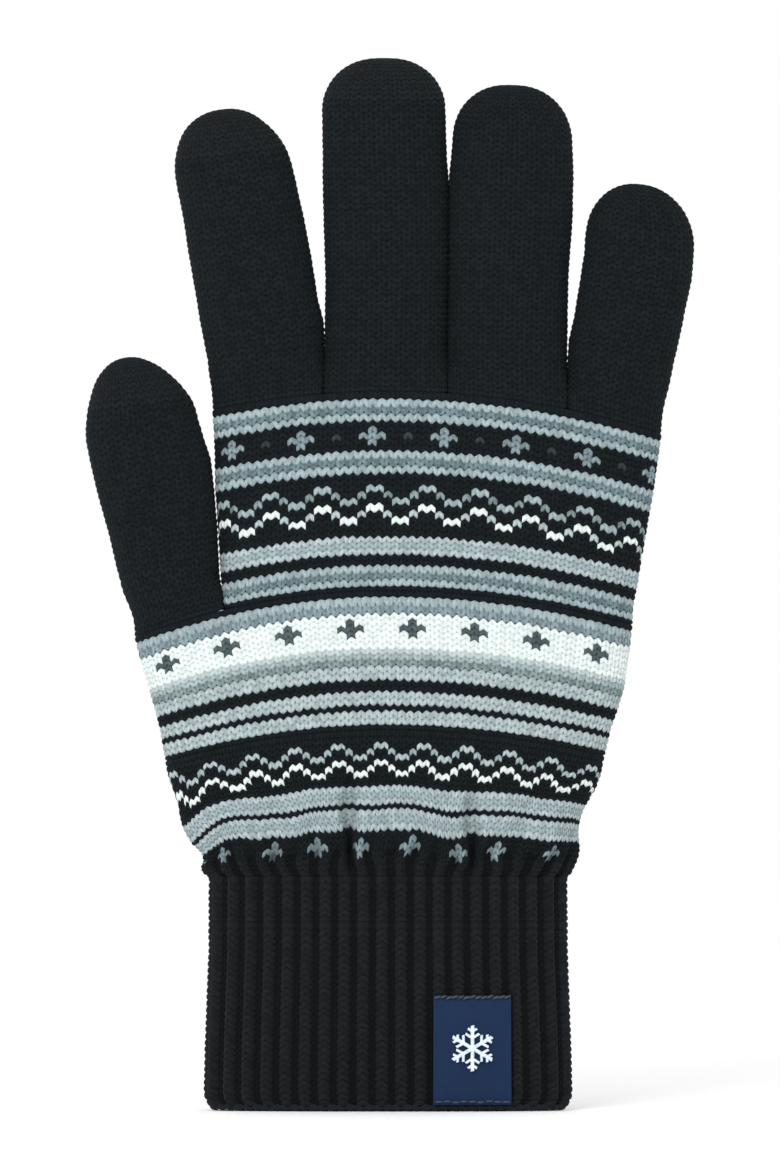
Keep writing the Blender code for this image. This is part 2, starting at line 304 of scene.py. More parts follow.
UPPER_CHART = (
    Band(("K",), 1.5),
    Band(STRIPE, 4.5),
    Band(HIGH_EMBLEM, 6.5, phase=-2),
    Band(STRIPE, 4.7),
    Band(("K", "K"), 2.6),
    Band(WAVES, 8.2, phase=-1),
    Band(("K", "K"), 2.8),
    Band(LIGHT_STRIPE, 3.8),
    Band(("K", "K"), 2.4),
    Band(STRIPE, 4.5),
    Band(("K",), 1.2),
)
PALM_CHART = (
    Band(("K",), 1.2),
    Band(("P", "M"), 3.4),
    Band(WHITE_EMBLEM, 7.6),
    Band(("F", "f"), 2.3),
    Band(("D",), 1.4),
    Band(("C", "C"), 2.9),
    Band(("K", "K"), 2.6),
    Band(("C", "C"), 2.8),
    Band(("K",), 1.3),
    Band(("C", "C"), 3.0),
    Band(("K",), 1.3),
)
HEEL_CHART = (
    Band(("K", "K"), 2.6),
    Band(LOW_WAVES, 7.3, phase=-1),
    Band(("K", "K"), 2.1),
    Band(LIGHT_STRIPE, 4.1),
    Band(("K",), 1.1),
    Band(LIGHT_STRIPE, 4.5),
    Band(("K",), 1.4),
    Band(LOW_EMBLEM, 4.2),
    Band(("R", "R", "R"), 4.1),
)


class Chart:
    """The shade of every stitch, and the height of every course, of a stretch of fabric."""

    def __init__(self, bands: tuple[Band, ...], top: float) -> None:
        """Lay the bands out downwards.

        Args:
            bands: the bands from the top down.
            top: height of the top edge.
        """
        heights = [band.height / len(band.rows) for band in bands for _ in band.rows]
        self.rows = [(row, band.phase) for band in bands for row in band.rows][::-1]
        self.levels = (top - np.concatenate([[0.0], np.cumsum(heights)]))[::-1]
        self.letters = {shade.letter: number for number, shade in enumerate(Shade)}

    def shades(self, wales: np.ndarray, courses: np.ndarray) -> np.ndarray:
        """Read the chart.

        Args:
            wales: wale of each stitch, counted from the middle of the back.
            courses: course of each stitch.

        Returns:
            The place of each stitch's shade among the shades.
        """
        found = np.zeros(wales.shape, int)
        for number in np.unique(courses):
            row, phase = self.rows[number]
            codes = np.array([self.letters[letter] for letter in row])
            here = courses == number
            found[here] = codes[(wales[here] - phase) % len(row)]
        return found


def plain_chart(shade: Shade, bottom: float, top: float, course: float) -> Chart:
    """A chart of one shade between two heights, in whole courses of about the given height."""
    count = max(1, round((top - bottom) / course))
    return Chart((Band((shade.letter,) * count, top - bottom),), top)


# =============================================================================================
# the tubes the fabric is wrapped on
# =============================================================================================
class HalfLoop:
    """The front half of a closed section, from its right-hand middle to its left-hand middle."""

    def __init__(self, points: np.ndarray) -> None:
        """Measure how far along the half each point lies.

        Args:
            points: rows of x and y.
        """
        steps = np.hypot(*np.diff(points, axis=0).T)
        self.run = np.concatenate([[0.0], np.cumsum(steps)])
        self.run /= float(self.run[-1])
        self.points = points

    def at(self, u: np.ndarray) -> tuple[np.ndarray, np.ndarray]:
        """Find points round the whole section.

        Args:
            u: from 0 to 1 once round, over the front and then the back.

        Returns:
            x and y of each.
        """
        u = u % 1.0
        t = np.where(u < 0.5, 2.0 * u, 2.0 * (1.0 - u))
        x = np.interp(t, self.run, self.points[:, 0])
        y = np.interp(t, self.run, self.points[:, 1])
        return x, np.where(u < 0.5, y, -y)


def rounded_half(half_width: float, half_depth: float, power: float,
                 steps: int = 720) -> np.ndarray:
    """Draw the front half of a rounded, flattened section.

    Args:
        half_width: half of its width.
        half_depth: half of its depth.
        power: 2 for an ellipse, and more for a boxier shape.
        steps: how finely it is drawn.

    Returns:
        Rows of x and y, from right to left.
    """
    angle = np.linspace(0.0, math.pi, steps + 1)
    across, through = np.cos(angle), np.sin(angle)
    x = half_width * np.abs(across) ** (2.0 / power) * np.sign(across)
    y = -half_depth * np.abs(through) ** (2.0 / power)
    return np.column_stack([x, y])


@dataclass(frozen=True)
class Slice:
    """A slice of a wider tube's rounded section, with straight walls at its cuts.

    Attributes:
        left: the wider section's left edge.
        right: its right edge.
        half_depth: half of its depth.
        start: left cut, or anything past the left edge.
        end: right cut, or anything past the right edge.
        power: how boxy the wider section is.
        corner: how sharply the walls turn, from 1 upwards.
    """

    left: float
    right: float
    half_depth: float
    start: float
    end: float
    power: float = 2.5
    corner: float = 6.0

    def limits(self) -> tuple[float, float]:
        """The slice's own left and right edge."""
        return max(self.start, self.left + 0.02), min(self.end, self.right - 0.02)

    def middle(self) -> float:
        """Place across of the slice's middle."""
        return sum(self.limits()) / 2

    def at(self, across: np.ndarray, through: np.ndarray) -> tuple[np.ndarray, np.ndarray]:
        """Find the points that stand for those of a unit section.

        Args:
            across: x of the unit section's points.
            through: y of them.

        Returns:
            x and y in the slice.
        """
        start, end = self.limits()
        x = start + (end - start) * (across + 1.0) / 2
        share = np.abs(2.0 * x - self.left - self.right) / (self.right - self.left)
        depth = self.half_depth * (1.0 - np.minimum(share, 1.0) ** self.power) ** (1 / self.power)
        full = 1.0 - (1.0 - np.minimum(np.abs(through), 1.0)) ** self.corner
        return x, np.sign(through) * depth * full


@dataclass(frozen=True)
class Dome:
    """The rounded end of a tube.

    Attributes:
        level: height where it starts.
        height: how far it rises.
        power: below 1 it is boxier than half an ellipse, above 1 more pointed.
    """

    level: float
    height: float
    power: float = 1.0


@dataclass
class Tube:
    """A knitted tube, against the height of its courses at its middle.

    Attributes:
        edges: (height, left, right) of its outline.
        depths: (height, half depth).
        power: how boxy its section is.
        bow: how far the courses dip away from the glove's middle, for points (x, height).
        root: where it grows from a wider tube, the loop it starts as.
        root_level: height of that start.
        root_reach: height over which it takes its own section.
        settle: height over which its courses stop following that tube's bow.
        lean: slope of its courses once they have settled.
        dome: its rounded end, if it has one.
        inset: how far the fabric's base lies inside the outline.
    """

    edges: Table
    depths: Table
    power: float = 2.5
    bow: Callable[[np.ndarray, np.ndarray], np.ndarray] | None = None
    root: Slice | None = None
    root_level: float = 0.0
    root_reach: float = 10.0
    settle: float = 0.0
    lean: float = 0.0
    dome: Dome | None = None
    inset: float = 0.42
    profile: HalfLoop = field(init=False)

    def __post_init__(self) -> None:
        """Space the unit section evenly for the tube's middle proportions."""
        middle = float(self.outline()[0].mean())
        half_width = self.half_width(middle)
        half_depth = float(between(middle, self.depths))
        shape = rounded_half(half_width, half_depth, self.power)
        self.profile = HalfLoop(shape)
        self.profile.points = shape / np.array([half_width, half_depth])

    def outline(self) -> tuple[np.ndarray, ...]:
        """The outline's heights, its left edges and its right edges."""
        return tuple(np.array(row) for row in zip(*self.edges))

    def half_width(self, height: float) -> float:
        """Half of the outline's width at a height."""
        heights, lefts, rights = self.outline()
        return float(np.interp(height, heights, rights - lefts)) / 2

    def shrink(self, level: np.ndarray) -> tuple[np.ndarray, np.ndarray]:
        """Follow the tube over its rounded end.

        Args:
            level: distance up the fabric.

        Returns:
            Height there, and the share of the full section that is left.
        """
        if self.dome is None:
            return level, np.ones_like(level)
        reach = self.dome_reach()
        angle = np.clip((level - self.dome.level) / reach, 0.0, math.pi / 2)
        height = np.minimum(level, self.dome.level) + self.dome.height * np.sin(angle)
        return height, np.maximum(np.cos(angle), 1e-4) ** self.dome.power

    def dome_reach(self) -> float:
        """Mean radius of the dome, which turns distance along it into an angle."""
        return (self.half_width(self.dome.level) + self.dome.height) / 2

    def top(self) -> float:
        """Find where the fabric ends.

        Returns:
            Distance up the fabric of its last course.
        """
        if self.dome is None:
            return self.edges[-1][0]
        return self.dome.level + self.dome_reach() * math.pi / 2

    def dip(self, x: np.ndarray, height: np.ndarray, level: np.ndarray,
            middle: np.ndarray) -> np.ndarray:
        """Work out how far a course hangs below its place at the tube's middle.

        Args:
            x: places across.
            height: height of the course at the tube's middle.
            level: distance up the fabric.
            middle: x of the tube's middle.

        Returns:
            The drop at each place.
        """
        if self.bow is None:
            return 0.0 * x
        if not self.settle:
            return self.bow(x, height)
        part = smoothstep((level - self.root_level) / self.settle)
        start = self.bow(x, height) - self.bow(np.full_like(x, self.root.middle()), height)
        return (1.0 - part) * start + part * self.lean * (x - middle)

    def surface(self, u: np.ndarray, level: np.ndarray) -> np.ndarray:
        """Find points of the fabric's base.

        Args:
            u: from 0 to 1 once round the tube.
            level: distance up the fabric.

        Returns:
            x, y and z of each, along a last axis.
        """
        heights, lefts, rights = self.outline()
        height, share = self.shrink(level)
        left = np.interp(height, heights, lefts)
        right = np.interp(height, heights, rights)
        for _ in range(3):
            middle = (left + right) / 2
            left, right = (np.interp(height - self.dip(edge, height, level, middle), heights, row)
                           for edge, row in ((left, lefts), (right, rights)))
        middle = (left + right) / 2
        across, through = self.profile.at(u)
        x = middle + across * ((right - left) / 2 - self.inset) * share
        y = through * (between(height, self.depths) - self.inset) * share
        if self.root is not None:
            part = smoothstep((level - self.root_level) / self.root_reach)
            root_x, root_y = self.root.at(across, through)
            x = root_x + (x - root_x) * part
            y = root_y + (y - root_y) * part
        return np.stack([x, y, height - self.dip(x, height, level, middle)], axis=-1)

    def normals(self, u: np.ndarray, level: np.ndarray) -> np.ndarray:
        """Find the unit normals of that surface, facing out.

        Args:
            u: from 0 to 1 once round the tube.
            level: distance up the fabric.

        Returns:
            One normal for each point, along a last axis.
        """
        step_u, step_level = 0.002, 0.3
        along = self.surface(u + step_u, level) - self.surface(u - step_u, level)
        up = self.surface(u, level + step_level) - self.surface(u, level - step_level)
        normal = np.cross(up, along)
        length = np.linalg.norm(normal, axis=-1, keepdims=True)
        return normal / np.maximum(length, 1e-9)

    def cut_across(self, level: float) -> tuple[float, float, float]:
        """Measure the base where a tube that grows from this one starts.

        Args:
            level: distance up the fabric.

        Returns:
            Its left and right edge, and half of its depth.
        """
        ends = self.surface(np.array([0.5, 0.0]), np.full(2, level))
        return float(ends[0, 0]), float(ends[1, 0]), self.depths[-1][1] - self.inset


# =============================================================================================
# fabric: relief and yarns on a tube
# =============================================================================================
@dataclass
class Fabric:
    """A stretch of knit on a tube, as one closed shell.

    Attributes:
        tube: what it is wrapped on.
        chart: its courses and their shades.
        wales: stitches once round.
        yarn: the finish its shades are dyed on.
        relief: how far a stitch stands up.
        slant: how many courses a stitch's leg drops from its head to its foot.
        thickness: from the fabric's base to its inside.
        folds: extra rise at (u, points), for ribs and gathers.
        sway: how far the points shift along the fabric, for gathers.
        ribbed: whether every other wale is drawn back, as in a rib, and painted in shade.
        rib_fade: courses over which the painted shade in the grooves of a rib below dies away.
        seed: start of the random tones.
    """

    tube: Tube
    chart: Chart
    wales: int
    yarn: Yarn
    relief: float = 0.45
    slant: float = 0.45
    thickness: float = 1.0
    folds: Callable[[np.ndarray, np.ndarray], np.ndarray] | None = None
    sway: Callable[[np.ndarray], np.ndarray] | None = None
    ribbed: bool = False
    rib_fade: int = 0
    seed: int = 1

    def columns(self) -> tuple[np.ndarray, np.ndarray, np.ndarray]:
        """Divide the tube's round into columns of corners.

        Returns:
            Each column's place round the tube, distance from its stitch's middle, and rise.
        """
        half = np.concatenate([LEG_COLUMNS, 1.0 + np.array(LEG_COLUMNS)]) / 2
        wale = np.repeat(np.arange(self.wales), CELL_COLUMNS)
        part = np.tile(half, self.wales)
        place = wale + part
        if self.ribbed:
            place = np.where(wale % 2 == 0, wale + part * RIB_SHARE,
                             wale - 1 + RIB_SHARE + part * (2.0 - RIB_SHARE))
        place = np.append(place, float(self.wales))
        part = np.append(part, 0.0)
        rise = np.append(np.tile(LEG_RISE, 2 * self.wales), LEG_RISE[0])
        return place / self.wales, np.abs(part - 0.5) * 2.0, rise

    def rows(self, first: int, last: int) -> tuple[np.ndarray, np.ndarray, np.ndarray]:
        """Divide some courses into rows of corners.

        Args:
            first: number of the lowest course.
            last: number of the course above the highest.

        Returns:
            Each row's distance up the fabric, the height of its course, and its rise.
        """
        levels = self.chart.levels
        places, spans, rises = [], [], []
        for course in range(first, last):
            span = levels[course + 1] - levels[course]
            for part, rise in zip(COURSE_ROWS, COURSE_RISE):
                places.append(levels[course] + part * span)
                spans.append(span)
                rises.append(rise)
        return (np.append(places, levels[last]), np.append(spans, spans[-1]),
                np.append(rises, COURSE_RISE[0]))

    def shell(self, name: str, first: int, last: int, square: tuple[bool, bool] = (True, True),
              ) -> bpy.types.Object:
        """Build the courses from first up to last as one closed piece.

        Args:
            name: the piece's name.
            first: number of its lowest course.
            last: number of the course above its highest.
            square: whether its lower and upper ends are cut straight, not along the stitches.

        Returns:
            The piece.
        """
        u, aside, leg_rise = self.columns()
        level, span, course_rise = self.rows(first, last)
        count = len(level)
        inner = level[::-1][:: 2 * CELL_ROWS]
        if inner[-1] != level[0]:
            inner = np.append(inner, level[0])
        drop = 0.5 * aside + 0.25 * (1.0 - np.cos(math.pi * aside))
        ramp = np.ones(count)
        if square[0]:
            ramp = np.minimum(ramp, (level - level[0]) / (SQUARE_REACH * span))
        if square[1]:
            ramp = np.minimum(ramp, (level[-1] - level) / (SQUARE_REACH * span))
        grid_level = level[:, None] - self.slant * (span * ramp)[:, None] * drop[None, :]
        wander = (HEIGHT_WANDER * span * ramp)[:, None]
        grid_level = grid_level + wander * self.unevenness(first, last, 1)
        grid_level = np.vstack([grid_level, np.repeat(inner[:, None], len(u), axis=1)])
        grid_u = np.broadcast_to(u[None, :], grid_level.shape)
        rise = self.relief * leg_rise[None, :] * course_rise[:, None]
        rise = rise * (1.0 + RISE_WANDER * self.unevenness(first, last, 2))
        rise = rise * self.tube.shrink(level)[1][:, None] ** 0.5
        rise = np.vstack([rise, np.full((len(inner), len(u)), -self.thickness)])
        points = self.tube.surface(grid_u, grid_level)
        if self.folds is not None:
            rise = rise + self.folds(grid_u, points)
        points = points + rise[..., None] * self.tube.normals(grid_u, grid_level)
        if self.sway is not None:
            points = points + self.sway(points)
        points = np.concatenate([points, points[:1]])
        if self.tube.dome is not None and last == len(self.chart.rows):
            points[count - 1] = points[count - 1].mean(axis=0)
            points[count] = points[count].mean(axis=0)
        obj = self.knit(name, points)
        self.colour(obj, first, count)
        return close_shell(obj, count - 1)

    def unevenness(self, first: int, last: int, number: int) -> np.ndarray:
        """Draw small differences from stitch to stitch, smooth between their middles.

        Args:
            first: number of the lowest course.
            last: number of the course above the highest.
            number: which set of differences.

        Returns:
            A value from -1 to 1 for each row and column of corners.
        """
        random = np.random.default_rng(100 * self.seed + number)
        stitches = random.uniform(-1.0, 1.0, (len(self.chart.rows) + 1, self.wales))
        rows = first + np.arange((last - first) * CELL_ROWS + 1) / CELL_ROWS
        places = np.arange(self.wales * CELL_COLUMNS + 1) / CELL_COLUMNS
        row, place = np.floor(rows).astype(int), np.floor(places).astype(int)
        up, on = (rows - row)[:, None], (places - place)[None, :]
        next_row = np.minimum(row + 1, len(self.chart.rows))
        here, there = place % self.wales, (place + 1) % self.wales
        low = stitches[np.ix_(row, here)] * (1 - on) + stitches[np.ix_(row, there)] * on
        high = stitches[np.ix_(next_row, here)] * (1 - on) + stitches[np.ix_(next_row, there)] * on
        return low * (1 - up) + high * up

    def knit(self, name: str, points: np.ndarray) -> bpy.types.Object:
        """Make a grid of faces and move its corners onto the points.

        Args:
            name: the piece's name.
            points: rows and columns of x, y and z in millimetres.

        Returns:
            The open grid, each corner knowing its row and column.
        """
        rows, columns = points.shape[:2]
        bm = bmesh.new()
        bmesh.ops.create_grid(bm, x_segments=columns - 1, y_segments=rows - 1, size=0.5)
        mesh = bpy.data.meshes.new(name)
        bm.to_mesh(mesh)
        bm.free()
        flat = np.zeros(len(mesh.vertices) * 3)
        mesh.vertices.foreach_get("co", flat)
        flat = flat.reshape(-1, 3)
        column = np.rint((flat[:, 0] + 0.5) * (columns - 1)).astype(int)
        row = np.rint((flat[:, 1] + 0.5) * (rows - 1)).astype(int)
        store(mesh, "grid_row", row)
        store(mesh, "grid_column", column)
        mesh.vertices.foreach_set("co", (points[row, column] * MM).ravel())
        obj = bpy.data.objects.new(name, mesh)
        bpy.context.scene.collection.objects.link(obj)
        return obj

    def colour(self, obj: bpy.types.Object, first: int, count: int) -> None:
        """Give every face the yarn of its stitch, in a tone of its own, with painted shade in the
        gaps between stitches and in rib grooves.

        Args:
            obj: the fresh grid.
            first: the chart's course at its lowest row.
            count: rows on its outside.
        """
        mesh = obj.data
        row, column = fetch(mesh, "grid_row"), fetch(mesh, "grid_column")
        corners = np.zeros(len(mesh.polygons) * 4, int)
        mesh.polygons.foreach_get("vertices", corners)
        corners = corners.reshape(-1, 4)
        face_row = row[corners].min(axis=1)
        face_column = column[corners].min(axis=1)
        outside = face_row < count - 1
        course = np.where(outside, first + face_row // CELL_ROWS, first)
        wale = face_column // CELL_COLUMNS
        shade = self.chart.shades((self.wales // 2 - 1) // 2 - wale, course)
        random = np.random.default_rng(self.seed)
        plain, full, thin, deep, gap_shade = range(len(Tone))
        legs = random.random((len(self.chart.rows) + 1, 2 * self.wales))
        draw = legs[course, face_column // len(LEG_COLUMNS)]
        draw = draw + random.normal(0.0, TONE_SCATTER, course.shape)
        tone = np.select([draw < DEEP_BELOW, draw < THIN_BELOW, draw > FULL_ABOVE],
                         [deep, thin, full], plain)
        part_row, part_column = face_row % CELL_ROWS, face_column % len(LEG_COLUMNS)
        low_high = (part_row == 0) | (part_row == CELL_ROWS - 1)
        at_side = (part_column == 0) | (part_column == len(LEG_COLUMNS) - 1)
        # Painted shade: where stitches meet, the corners take the deep tone and the holes the
        # darker gap tone; in light bands this also stands for dark floats showing through.
        tone = np.where(low_high & at_side, deep, tone)
        tone = np.where((part_row == 0) & at_side, gap_shade, tone)
        # Painted shade: the rib's drawn-back wales, the same yarn as its raised ones, take the
        # dark gap tone.
        if self.ribbed:
            tone = np.where(wale % 2 == 1, gap_shade, tone)
        # Painted shade: the grooves of the rib that runs up into the heel take the deep and the
        # gap tone by their depth, dying away over the first courses.
        if self.rib_fade:
            place = (face_column + 0.5) / (self.wales * CELL_COLUMNS)
            groove = -rib_rise(place) / RIB_RISE * np.maximum(1.0 - course / self.rib_fade, 0.0)
            tone = np.where(groove > GROOVE_DIM, deep, tone)
            tone = np.where(groove > GROOVE_DARK, gap_shade, tone)
        shades, tones = list(Shade), list(Tone)
        shade = np.where(outside, shade, shades.index(Shade.BLACK))
        tone = np.where(outside, tone, plain)
        used, slots = np.unique(shade * len(Tone) + tone, return_inverse=True)
        for code in used:
            mesh.materials.append(self.yarn.dress(shades[code // len(Tone)],
                                                  tones[code % len(Tone)]))
        mesh.polygons.foreach_set("material_index", slots.astype(np.int32).ravel())


def store(mesh: bpy.types.Mesh, name: str, values: np.ndarray) -> None:
    """Keep a whole number with every corner of a mesh."""
    attribute = mesh.attributes.new(name, "INT", "POINT")
    attribute.data.foreach_set("value", values.astype(np.int32))


def fetch(mesh: bpy.types.Mesh, name: str) -> np.ndarray:
    """Read those numbers back.

    Args:
        mesh: the mesh.
        name: what they are kept as.

    Returns:
        One number for each corner.
    """
    values = np.zeros(len(mesh.vertices), np.int32)
    mesh.attributes[name].data.foreach_get("value", values)
    return values


def close_shell(obj: bpy.types.Object, rim: int) -> bpy.types.Object:
    """Weld a wrapped grid's seams and ends, so that it is one closed shell facing out.

    Args:
        obj: the wrapped grid.
        rim: the row where its outside ends; up to there, courses meet in a crease.

    Returns:
        The same object.
    """
    mesh = obj.data
    row, column = fetch(mesh, "grid_row"), fetch(mesh, "grid_column")
    ends = np.zeros(len(mesh.edges) * 2, int)
    mesh.edges.foreach_get("vertices", ends)
    ends = row[ends.reshape(-1, 2)]
    hard = (ends[:, 0] == ends[:, 1]) & (ends[:, 0] % CELL_ROWS == 0) & (ends[:, 0] <= rim)
    sharp = mesh.attributes.new("sharp_edge", "BOOLEAN", "EDGE")
    sharp.data.foreach_set("value", hard)
    last_row, last_column = row.max(), column.max()
    pole = degenerate_rows(mesh, row)
    bm = bmesh.new()
    bm.from_mesh(mesh)
    bm.verts.ensure_lookup_table()
    welded = (row == 0) | (row == last_row) | (column == 0) | (column == last_column) | pole
    bmesh.ops.remove_doubles(bm, verts=[bm.verts[i] for i in np.flatnonzero(welded)], dist=WELD)
    loose = [edge for edge in bm.edges if not edge.link_faces]
    bmesh.ops.delete(bm, geom=loose, context="EDGES")
    bmesh.ops.recalc_face_normals(bm, faces=bm.faces)
    bm.to_mesh(mesh)
    bm.free()
    for name in ("grid_row", "grid_column"):
        mesh.attributes.remove(mesh.attributes[name])
    mesh.shade_smooth()
    return obj


def degenerate_rows(mesh: bpy.types.Mesh, row: np.ndarray) -> np.ndarray:
    """Find rows that have been drawn together into one point.

    Args:
        mesh: the wrapped grid.
        row: the row of each corner.

    Returns:
        Whether each corner lies in such a row.
    """
    flat = np.zeros(len(mesh.vertices) * 3)
    mesh.vertices.foreach_get("co", flat)
    x = flat.reshape(-1, 3)[:, 0]
    low, high = np.full(row.max() + 1, 1e9), np.full(row.max() + 1, -1e9)
    np.minimum.at(low, row, x)
    np.maximum.at(high, row, x)
    return (high - low < WELD)[row]


# =============================================================================================
# sub-assemblies
# =============================================================================================
RIB_COUNT = 40
RIB_SHARE = 1.3          # share of two wales that a rib's raised wale takes
RIB_RISE = 0.7
CUFF_TOP = 50.5          # where the rib ends and the gathered heel begins
CUFF_DEPTH = 8.6         # half of the cuff's depth
# Gathers above the cuff: place across, depth, width, reach upwards, and whether on the back.
GATHERS = (
    (-8.0, 4.4, 1.5, 18.0, True), (18.6, 4.0, 1.5, 13.0, True), (-25.0, 2.2, 2.2, 8.0, True),
    (-16.5, 0.9, 1.8, 7.0, True), (5.5, 1.0, 1.8, 7.0, True), (29.0, 1.2, 2.2, 9.0, True),
    (-24.0, 1.9, 2.0, 14.0, False), (-9.0, 1.2, 2.0, 9.0, False), (5.0, 2.2, 1.7, 16.0, False),
    (20.0, 1.2, 2.2, 9.0, False), (32.0, 1.5, 2.0, 11.0, False),
)


def course_bow(x: np.ndarray, height: np.ndarray) -> np.ndarray:
    """Work out how far courses dip towards the glove's edges.

    Args:
        x: places across.
        height: height of the course at the glove's middle.

    Returns:
        The drop below that height at each place.
    """
    left = between(height, ((CUFF_TOP, 0.0), (60.0, 0.0010), (72.0, 0.0026), (84.0, 0.0031),
                            (107.0, 0.0035), (124.0, 0.0030), (150.0, 0.0027)))
    right = between(height, ((CUFF_TOP, 0.0), (60.0, 0.0018), (72.0, 0.0026), (107.0, 0.0027),
                             (150.0, 0.0026)))
    droop = 0.024 * np.maximum(-x - 28.0, 0.0) ** 2
    heel = smoothstep((height - CUFF_TOP) / 8.0) * (1.0 - smoothstep((height - 64.0) / 16.0))
    return np.where(x < 0, left, right) * x * x + droop * heel


def rib_rise(u: np.ndarray) -> np.ndarray:
    """Shape the ribs: up along each rib's wale, and down between ribs.

    Args:
        u: from 0 to 1 once round the tube.

    Returns:
        The rise at each place.
    """
    turn = u * RIB_COUNT - RIB_SHARE / 4
    wave = np.cos(2.0 * math.pi * turn)
    return RIB_RISE * (wave + 0.25 * np.cos(4.0 * math.pi * turn))


def gather_sway(points: np.ndarray) -> np.ndarray:
    """Push stitches along the fabric where the gathers above the cuff crowd them.

    Args:
        points: x, y and z along a last axis.

    Returns:
        The shift of each point.
    """
    x, z = points[..., 0], points[..., 2]
    amount = smoothstep((z - 51.0) / 4.0) * (1.0 - smoothstep((z - 62.0) / 16.0))
    shift = np.zeros_like(points)
    shift[..., 0] = amount * (0.7 * np.sin(x / 4.1 + z / 5.0 + 0.6)
                              + 0.4 * np.sin(x / 2.3 - z / 3.0))
    shift[..., 2] = amount * (0.55 * np.sin(x / 6.3 + 2.2) + 0.35 * np.sin(x / 3.1 + 0.4))
    return shift


def joint(name: str) -> dict:
    """The frame's joint of this name."""
    return next(found for found in frame["joints"] if found["name"] == name)


def joint_height(name: str) -> float:
    """Height of a joint of the frame, in millimetres."""
    return joint(name)["pos_m"][2] / MM


@dataclass
class Cuff:
    """The ribbed cuff with its locked edge."""

    split: float = 40.0          # above this the rib is built as its own piece
    course: float = 1.4
    bottom: float = 1.2          # height of the lowest course, inside the edge
    corner: float = 4.2          # radius of the cuff's lower corners
    half_widths: Table = ((0.0, 39.7), (13.0, 39.4), (24.0, 39.0), (34.0, 38.6), (50.5, 38.5))
    heights: tuple[float, ...] = (0.0, 0.4, 1.1, 2.1, 3.2, 4.2, 6.5, 13.0, 24.0, 34.0, 45.0, 50.5)
    chain_height: float = 1.1    # height of the edge's chain of stitches
    chain_radius: float = 0.62
    chain_bump: float = 0.16     # how much each chain stitch swells
    chain_twist: float = 0.25    # how far its two sides lean apart

    def tube(self) -> Tube:
        """Draw the cuff's tube, rounded at its lower corners.

        Returns:
            The tube.
        """
        edges = []
        for height in self.heights:
            lift = max(0.0, self.corner - height)
            inward = self.corner - math.sqrt(self.corner ** 2 - lift ** 2)
            half = float(between(height, self.half_widths))
            edges.append((height, inward - half, half - inward))
        return Tube(tuple(edges), ((0.0, CUFF_DEPTH), (CUFF_TOP, CUFF_DEPTH)), inset=0.95)

    def build(self) -> list[bpy.types.Object]:
        """Build the rib in its two stretches, and the edge.

        Returns:
            The pieces.
        """
        tube = self.tube()
        chart = plain_chart(Shade.RIB_BLACK, self.bottom, CUFF_TOP, self.course)
        fabric = Fabric(tube, chart, 2 * RIB_COUNT, RIBBED, relief=0.5, slant=0.65,
                        thickness=0.9, ribbed=True, seed=11,
                        folds=lambda u, points: rib_rise(u))
        split = int(np.searchsorted(chart.levels, self.split))
        last = len(chart.rows)
        lower = fabric.shell("cuff_rib", 0, split)
        upper = fabric.shell("cuff_rib_top", split, last)
        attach(lower, "cuff")
        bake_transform(upper)
        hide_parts("cuff")
        edge = self.edge(tube)
        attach(edge, "cuff")
        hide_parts("cuff_edge")
        return [lower, upper, edge]

    def edge(self, tube: Tube) -> bpy.types.Object:
        """Lay the chain of locked stitches round the opening.

        Args:
            tube: the cuff's tube.

        Returns:
            The piece.
        """
        around, cells = 10, 2 * RIB_COUNT
        u = np.linspace(0.0, 1.0, cells * 4 + 1)
        angle = np.linspace(0.0, 2.0 * math.pi, around + 1)[:, None]
        turn = 2.0 * math.pi * u * cells
        normal = tube.normals(u, np.full_like(u, 6.0))
        radius = self.chain_radius + self.chain_bump * np.cos(turn)[None, :]
        out = (np.cos(angle) * radius * 1.25)[..., None] * normal[None]
        rise = (np.sin(angle) * radius)[..., None] * np.array([0.0, 0.0, 1.0])
        points = tube.surface(u, np.full_like(u, self.chain_height))[None] + out + rise
        points[..., 2] += self.chain_twist * (np.sin(turn)[None, :] * np.cos(angle) - 1.0)
        points[-1] = points[0]
        fabric = Fabric(tube, plain_chart(Shade.RIB_BLACK, 0.0, 1.0, 1.0), cells, RIBBED)
        obj = fabric.knit("cuff_locked_edge", points)
        obj.data.materials.append(RIBBED.dress(Shade.RIB_BLACK, Tone.FULL))
        return close_shell(obj, -1)


